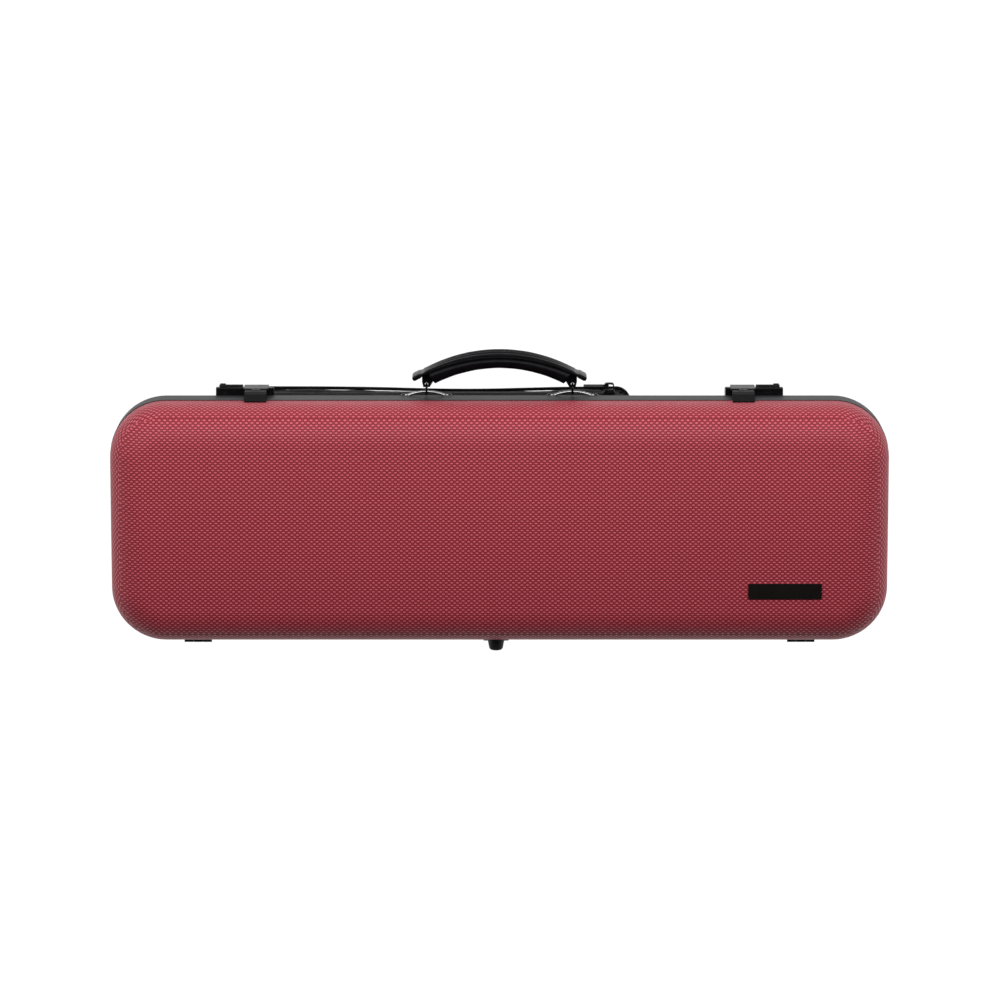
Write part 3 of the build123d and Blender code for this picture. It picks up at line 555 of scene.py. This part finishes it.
def settle(piece_mesh, cap, floor, ceiling):
    """Inflates a closed mesh by cloth simulation, then caps how far each point moved."""
    start = [v.co.copy() for v in piece_mesh.vertices]
    work = bpy.data.objects.new("cloth_work", piece_mesh.copy())
    bpy.context.scene.collection.objects.link(work)
    cloth = work.modifiers.new("cloth", "CLOTH")
    cloth.settings.use_pressure = True
    cloth.settings.uniform_pressure_force = CLOTH_PRESSURE
    cloth.settings.effector_weights.gravity = 0.0
    cloth.settings.tension_stiffness = 12
    cloth.settings.bending_stiffness = 1.5
    scene = bpy.context.scene
    for number in range(1, CLOTH_FRAMES + 1):
        scene.frame_set(number)
    moved = baked(work, "cloth_result")
    ends = [v.co.copy() for v in moved.vertices]
    scene.frame_set(1)
    for vertex, before, after in zip(piece_mesh.vertices, start, ends):
        step = after - before
        if step.length > cap:
            step *= cap / step.length
        spot = before + step
        spot.z = min(max(spot.z, floor), ceiling)
        vertex.co = spot


def subdivided(mesh, name):
    work = bpy.data.objects.new(name + "_work", mesh)
    bpy.context.scene.collection.objects.link(work)
    modifier = work.modifiers.new("subdivision", "SUBSURF")
    modifier.levels = 1
    modifier.render_levels = 1
    return baked(work, name)


def wrinkle(mesh, size, depth, seed, keep_low=None):
    """Small soft folds: each point moves along its normal by smooth noise."""
    offset = Vector((seed * 3.1, seed * 1.7, seed * 0.9))
    normals = [vertex.normal.copy() for vertex in mesh.vertices]
    places = [vertex.co.copy() for vertex in mesh.vertices]
    flat = []
    for place, normal in zip(places, normals):
        if keep_low is None or place.z >= keep_low:
            place += normal * noise.noise(place / size + offset) * depth
        flat.extend(place)
    mesh.vertices.foreach_set("co", flat)


# ---------------------------------------------------------------- handle

strap_low, strap_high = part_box("handle_strap")
HANDLE_Z = (strap_low.z + strap_high.z) / 2
HANDLE_W = strap_high.z - strap_low.z
STRAP_T = 2.6 * MM
SAG = 22.8 * MM
ARCH_HALF = 87.1 * MM
ARCH_R = (ARCH_HALF**2 + SAG**2) / (2 * SAG)
ARCH_Y = HALF_W + 41.4 * MM - ARCH_R
ARCH_END = math.asin(ARCH_HALF / ARCH_R)
PAD_R = 156 * MM
PAD_TOP_T = 4.0 * MM
PAD_LOW_T = 10.8 * MM
PAD_IN_R = PAD_R - PAD_TOP_T - STRAP_T - PAD_LOW_T
PAD_Y = ARCH_Y + ARCH_R + STRAP_T / 2 + PAD_TOP_T - PAD_R
TOP_ANGLE = math.asin(77 * MM / PAD_R)
LOW_ANGLE = math.asin(65.6 * MM / PAD_IN_R)
STRAP_ROUND = 0.9 * MM
STRAP_END = 2.5 * MM
STITCHES = 62
SEAM_IN = 0.55 * MM
WELT_IN = 0.15 * MM
WELT_UP = 0.2 * MM
WELT_R = 0.55 * MM


def on_arch(angle, radius, z):
    """A point of the handle's arch: angle from its crown, radius from its centre."""
    return Vector((radius * math.sin(angle), ARCH_Y + radius * math.cos(angle), HANDLE_Z + z))


def pad_point(angle, share, outer, z):
    """A point of a pad: share 0 lies on the strap, 1 on the pad's own outer or inner arc."""
    turn = Vector((math.sin(angle), math.cos(angle), 0))
    middle = Vector((0, PAD_Y, HANDLE_Z + z))
    strap_r = ARCH_R + (STRAP_T / 2 if outer else -STRAP_T / 2)
    drop = ARCH_Y - PAD_Y
    along = drop * turn.y + math.sqrt(strap_r**2 - (drop * turn.x) ** 2)
    far = PAD_R if outer else PAD_IN_R
    return middle + turn * (along + (far - along) * share)


def swept(name, section, steps, spot):
    """Sweeps a closed section of (z, depth) pairs from one end of the handle to the other.
    spot(t, z, depth) gives each point, with t from -1 to 1."""

    def build(bm):
        rings = []
        for i in range(steps + 1):
            t = -1 + 2 * i / steps
            rings.append([bm.verts.new(spot(t, z, depth)) for z, depth in section])
        skin(bm, rings)

    return mesh_from(name, build)


def pad_mesh(name, section, outer, half_angle, steps, taper, squeeze):
    """A pad swept along the strap, rounded off past the share taper of its half length."""

    def spot(t, z, share):
        keep_z, keep_depth = rounded_end(abs(t), taper, squeeze)
        return pad_point(t * half_angle, share * keep_depth, outer, z * keep_z)

    return swept(name, section, steps, spot)


def pad_top_section():
    """The padded top: a low crown with four raised ridges along it, over a flat base."""
    width = 12.2 * MM
    points = []
    count = 64
    for i in range(count + 1):
        s = -1 + 2 * i / count
        crown = 0.93 * (1 - abs(s) ** 3.4) ** 0.55
        ridge = 0.15 * math.cos(s * math.pi * 4.0) * (1 - s * s) ** 0.5
        points.append((s * width, max(0.05, crown + ridge)))
    for i in range(1, 8):
        points.append((width * (1 - 2 * i / 8), 0.01))
    return points


def pad_bottom_section():
    """The lower pad: a deep rounded gutter shape with flat top against the strap."""
    width = 12.0 * MM
    points = []
    count = 32
    for i in range(count + 1):
        s = -1 + 2 * i / count
        points.append((-s * width, max(0.02, (1 - abs(s) ** 5) ** 0.5)))
    for i in range(1, 8):
        points.append((-width * (1 - 2 * i / 8), 0.005))
    return points


def rounded_end(t, taper, squeeze):
    """How much of a pad's width and depth is left at t, from 0 in the middle to 1 at the end."""
    if t <= taper:
        return 1.0, 1.0
    s = (t - taper) / (1 - taper)
    fall = math.sqrt(max(0.0, 1 - s * s))
    return 1 - squeeze * (1 - fall), 0.12 + 0.88 * fall


def stitches(z, radius, half_angle, count, name):
    """A row of short slanted thread stitches along the handle."""
    parts = []
    for i in range(count):
        angle = half_angle * (-1 + 2 * (i + 0.5) / count)
        half = half_angle / count * 0.66
        points = []
        for k in range(5):
            s = -1 + 2 * k / 4
            lift = 0.22 * MM * (1 - s * s)
            points.append(on_arch(angle + s * half, radius + lift, z + 0.12 * MM * s))
        parts.append(sweep(points, 0.24 * MM, name, sides=8))
    return join(parts, name)


def make_handle_pads():
    """The ridged leather on top of the strap and the deep rounded pad under it."""
    mesh = pad_mesh("handle_top_leather", pad_top_section(), True, TOP_ANGLE, 150, 0.93, 0.12)
    wrinkle(mesh, 9 * MM, 0.10 * MM, 2)
    top = add_piece("handle_top_leather", mesh, "handle", "handle_leather")
    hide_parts("handle_pad_top")

    mesh = pad_mesh("handle_bottom_leather", pad_bottom_section(), False, LOW_ANGLE, 200, 0.975, 0.10)
    wrinkle(mesh, 11 * MM, 0.15 * MM, 5)
    low = add_piece("handle_bottom_leather", mesh, "handle", "handle_leather")
    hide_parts("handle_pad_bottom")


def strap_section():
    """A flat strap with rounded edges, as (z, radius) pairs."""
    section = []
    for corner_z, corner_r, start in ((1, 1, 0), (-1, 1, 90), (-1, -1, 180), (1, -1, 270)):
        for i in range(5):
            turn = math.radians(start + 90 * i / 4)
            z = corner_z * (HANDLE_W / 2 - STRAP_ROUND) + STRAP_ROUND * math.cos(turn)
            radius = ARCH_R + corner_r * (STRAP_T / 2 - STRAP_ROUND) + STRAP_ROUND * math.sin(turn)
            section.append((z, radius))
    return section


def strap_spot(t, z, radius):
    """A point of the strap, which thickens beyond the pads and is rounded at its ends."""
    share = abs(t)
    taper = 1 - STRAP_END / ARCH_HALF
    keep_z = 1.0
    keep_r = 1.0 + 0.7 * min(1.0, max(0.0, (share - 0.89) / 0.02))
    if share > taper:
        s = (share - taper) / (1 - taper)
        fall = math.sqrt(max(0.0, 1 - s * s))
        keep_z = 0.9 + 0.1 * fall
        keep_r *= 0.6 + 0.4 * fall
    return on_arch(t * ARCH_END, ARCH_R + (radius - ARCH_R) * keep_r, z * keep_z)


def make_handle_strap():
    mesh = swept("handle_strap_leather", strap_section(), 160, strap_spot)
    strap = add_piece("handle_strap_leather", mesh, "handle", "handle_leather")
    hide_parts("handle_strap")


def make_handle_trim():
    """Stitching along both edges of the strap, and a piped welt on each edge."""
    seam_z = HANDLE_W / 2 - SEAM_IN
    for side, z in (("lid", seam_z), ("back", -seam_z)):
        name = "handle_stitches_" + side
        seam = stitches(z, ARCH_R + STRAP_T / 2, ARCH_END * 0.86, STITCHES, name)
        add_piece(name, seam, "handle", "handle_leather")
    welts = []
    welt_z = HANDLE_W / 2 - WELT_IN
    for z in (welt_z, -welt_z):
        angles = [ARCH_END * 0.88 * (-1 + 2 * i / 60) for i in range(61)]
        route = [on_arch(angle, ARCH_R + WELT_UP, z) for angle in angles]
        welts.append(sweep(route, WELT_R, "welt", sides=12))
    add_piece("handle_edge_welts", join(welts, "handle_edge_welts"), "handle", "handle_leather")


# ---------------------------------------------------------------- music pocket and zip

pocket_low, pocket_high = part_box("music_pocket")
zip_low, zip_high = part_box("zip_chain")


def pocket_bulge(x):
    """How far the pocket's zipped side bellies out or sinks at x."""
    return 0.4 * MM - 2.6 * MM * math.exp(-(((x + 35 * MM) / (85 * MM)) ** 2))


def make_pocket_cloth():
    """The bag on the back: cloth puffed out, creased, and drawn in along its zipped side."""
    mesh = soft_copy("music_pocket", 3.2 * MM, 4, "pocket_cloth")
    middle = (pocket_low + pocket_high) / 2
    for vertex in mesh.vertices:
        vertex.co.x = middle.x + (vertex.co.x - middle.x) * 0.994
        vertex.co.y = middle.y + (vertex.co.y - middle.y) * 0.992
    settle(mesh, 2.5 * MM, pocket_low.z + 0.2 * MM, pocket_high.z)
    mesh = subdivided(mesh, "pocket_cloth")
    wrinkle(mesh, 26 * MM, 1.1 * MM, 7, keep_low=1.5 * MM)
    wrinkle(mesh, 9 * MM, 0.35 * MM, 4, keep_low=1.5 * MM)
    side = pocket_high.y - 12 * MM
    for vertex in mesh.vertices:
        vertex.co.z = min(max(vertex.co.z, pocket_low.z), pocket_high.z)
        if vertex.co.y > side:
            share = min(1.0, (vertex.co.y - side) / (8 * MM))
            vertex.co.y += pocket_bulge(vertex.co.x) * share
    pocket = add_piece("pocket_cloth", mesh, "base", "pocket_fabric")
    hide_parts("music_pocket")


PIPING_IN = 1.2 * MM
PIPING_CORNER = 13 * MM
LONG_SIDE = 50 * MM


def piping_route(edge, z):
    """A rounded loop round the pocket, its long sides divided so that they follow the bulge."""
    low, high = pocket_low, pocket_high
    left, right = low.x + PIPING_IN, high.x - PIPING_IN
    loop = rounded_loop(left, right, low.y + PIPING_IN, edge, PIPING_CORNER, z, 12)
    route = []
    for i, spot in enumerate(loop):
        route.append(Vector(spot))
        after = Vector(loop[(i + 1) % len(loop)])
        if abs(after.x - spot[0]) > LONG_SIDE:
            for k in range(1, 40):
                route.append(Vector(spot).lerp(after, k / 40))
    for spot in route:
        if spot.y > 0:
            spot.y += pocket_bulge(spot.x) * min(1.0, spot.y / edge) ** 8
            spot.z += 0.5 * MM * noise.noise(Vector((spot.x * 30, 2, 5)))
    return route


def make_pocket_piping():
    """A closed welt round the pocket's edge, and a hem under the zip on the handle's side."""
    welt = piping_route(pocket_high.y - 1.4 * MM, 5.0 * MM)
    tube = sweep(welt, 1.7 * MM, "pocket_welt", closed=True, sides=12)
    add_piece("pocket_welt", tube, "base", "pocket_fabric")
    hem = [spot for spot in piping_route(pocket_high.y - 3.2 * MM, 13.5 * MM) if spot.y > 0]
    add_piece("pocket_hem", sweep(hem, 1.1 * MM, "pocket_hem", sides=12), "base", "pocket_fabric")


# The seam tape's section in millimetres, as (height, distance from the case's middle): up its
# outer face and back down its inner one.
TAPE_LOW = 24.0
TAPE_FACE = ((TAPE_LOW, 111.5), (26.5, 111.4), (29.5, 110.9), (32.0, 110.5), (34.5, 110.9), (37.0, 111.5))
TAPE_BACK = ((37.0, 110.5), (34.5, 109.8), (31.0, 108.6), (27.0, 109.5), (TAPE_LOW, 110.4))
TAPE_INSET = 7 * MM
TAPE_STEPS = 150


def make_seam_tape():
    """The satin tape that covers the pocket's seam on the shell."""
    start = pocket_low.x + TAPE_INSET
    run = pocket_high.x - pocket_low.x - 2 * TAPE_INSET

    def tape(bm):
        rows = []
        for i in range(TAPE_STEPS + 1):
            s = i / TAPE_STEPS
            x = start + run * s
            end = min(1.0, min(s, 1 - s) * 22)
            row = []
            for z, y in TAPE_FACE + TAPE_BACK:
                lift = 0.25 * noise.noise(Vector((x * 55, z * 0.1, 3)))
                height = TAPE_LOW + (z - TAPE_LOW) * (0.35 + 0.65 * math.sqrt(end))
                row.append(bm.verts.new((x, (y + lift) * MM, height * MM)))
            rows.append(row)
        skin(bm, rows)

    add_piece("pocket_seam_tape", mesh_from("pocket_seam_tape", tape), "base", "strap_web")


TOOTH_PITCH = 2.0 * MM
ZIP_LEAN = math.atan2(6, 25)


def on_zip(x, out, up):
    """A point in the leaning zip's own frame: along the case, out of its face, up the lean."""
    centre = (zip_low + zip_high) / 2
    y = centre.y + out * math.cos(ZIP_LEAN) - up * math.sin(ZIP_LEAN)
    z = centre.z + out * math.sin(ZIP_LEAN) + up * math.cos(ZIP_LEAN)
    return Vector((x, y, z))


def make_zip_teeth():
    """Two rows of meshing teeth on the pocket's leaning side."""

    def teeth(bm):
        count = int((zip_high.x - zip_low.x) / TOOTH_PITCH)
        lean = Matrix.Rotation(ZIP_LEAN, 4, "X")
        for i in range(count):
            x = zip_low.x + (i + 0.5) * TOOTH_PITCH
            for row in (-1, 1):
                spot = on_zip(x + row * TOOTH_PITCH / 4, 0.1 * MM, row * 1.0 * MM)
                size = Matrix.Diagonal((0.62 * MM, 0.7 * MM, 1.5 * MM, 1))
                place = Matrix.Translation(spot) @ lean @ size
                bmesh.ops.create_icosphere(bm, subdivisions=1, radius=1.0, matrix=place)

    chain = add_piece("zip_teeth", mesh_from("zip_teeth", teeth), "base", "zip_teeth")
    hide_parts("zip_chain")


# The zip tape's section in millimetres, as (up the zip's face, out of it).
ZIP_TAPE = (
    (-6.5, -0.4), (-5.6, 0.1), (-2.2, 0.15), (0, 0.0), (2.2, 0.15), (5.6, 0.1), (6.5, -0.4), (0, -1.2)
)
ZIP_TAPE_STEPS = 160
ZIP_TAPE_PAST = 4 * MM


def make_zip_tape():
    """The woven tape that carries the teeth."""
    start = zip_low.x - ZIP_TAPE_PAST
    run = zip_high.x - zip_low.x + 2 * ZIP_TAPE_PAST

    def tape(bm):
        rows = []
        for i in range(ZIP_TAPE_STEPS + 1):
            x = start + run * i / ZIP_TAPE_STEPS
            rows.append([bm.verts.new(on_zip(x, (out - 0.5) * MM, up * MM)) for up, out in ZIP_TAPE])
        skin(bm, rows)

    add_piece("zip_tape", mesh_from("zip_tape", tape), "base", "strap_web")


# ---------------------------------------------------------------- inside

PADS = (
    # node, piece, body, voxel in mm, smoothing, how far it may puff out in mm, fill
    ("back_pillow", "back_pillow_plush", "base", 3.5, 6, 2.0, 0.7),
    ("neck_pillow", "neck_pillow_plush", "base", 3.0, 5, 1.5, 0.7),
    ("bow_tip_pockets", "bow_tip_pouches", "lid", 1.3, 3, 0.0, None),
    ("box_lid", "box_lid_plush", "box_lid", 1.2, 4, 0.0, None),
)


def make_pads():
    """The plush pieces inside the case that are cushions or covered boards."""
    for node, piece_name, body, voxel, smoothing, cap, fill in PADS:
        mesh = soft_copy(node, voxel * MM, smoothing, piece_name)
        if cap:
            low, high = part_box(node)
            settle(mesh, cap * MM, low.z, high.z + cap * MM)
            mesh = subdivided(mesh, piece_name)
        wrinkle(mesh, 14 * MM, 0.35 * MM, len(piece_name))
        piece = add_piece(piece_name, mesh, body, "plush")
        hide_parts(node)


LINING_DEPTH = 12 * MM
QUILT_PITCH = 38 * MM
QUILT_PUFF = 1.6 * MM


def make_linings():
    """The fitted bed and the lid's quilted pad."""
    mesh = soft_copy("base_lining", 4 * MM, 6, "base_lining_plush")
    wrinkle(mesh, 30 * MM, 0.8 * MM, 3)
    bed = add_piece("base_lining_plush", mesh, "base", "plush")
    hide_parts("base_lining")

    mesh = soft_copy("lid_lining", 2.6 * MM, 3, "lid_lining_plush")
    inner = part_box("lid_lining")[1].z - LINING_DEPTH
    inside = [v.index for v in mesh.vertices if v.co.z > inner and v.normal.z < -0.5]
    for index in inside:
        spot = mesh.vertices[index].co
        a = math.sin(spot.x / QUILT_PITCH * math.pi)
        b = math.sin(spot.y / QUILT_PITCH * math.pi)
        spot.z -= QUILT_PUFF * abs(a * b) ** 0.6
    quilt = add_piece("lid_lining_plush", mesh, "lid", "plush")
    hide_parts("lid_lining")


STRAP_ARCH = 4.0 * MM
STRAP_THICK = 1.3 * MM
STRAP_STEPS = 60
STRAP_RIBS = 8


def make_neck_strap():
    """A ribbed webbing strap, arched over the neck channel."""
    low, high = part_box("neck_strap")
    half = (high.y - low.y) / 2
    width = high.x - low.x

    def strap(bm):
        rows = []
        for i in range(STRAP_STEPS + 1):
            s = -1 + 2 * i / STRAP_STEPS
            z = low.z + STRAP_ARCH * (1 - s * s)
            ring = []
            for k in range(STRAP_RIBS + 1):
                u = k / STRAP_RIBS
                rib = 0.075 * MM * math.sin(u * math.pi * 4)
                ring.append((low.x + width * u, s * half, z + STRAP_THICK + rib))
            for k in range(STRAP_RIBS + 1):
                ring.append((high.x - width * k / STRAP_RIBS, s * half, z + 0.05 * MM))
            rows.append([bm.verts.new(spot) for spot in ring])
        skin(bm, rows)

    piece = add_piece("neck_strap_webbing", mesh_from("neck_strap_webbing", strap), "base", "strap_web")
    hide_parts("neck_strap")


# ---------------------------------------------------------------- build

materials = make_materials()
make_camera()
make_studio()
dress_cad_nodes()
make_handle_pads()
make_handle_strap()
make_handle_trim()
make_pocket_cloth()
make_pocket_piping()
make_seam_tape()
make_zip_teeth()
make_zip_tape()
make_linings()
make_pads()
make_neck_strap()
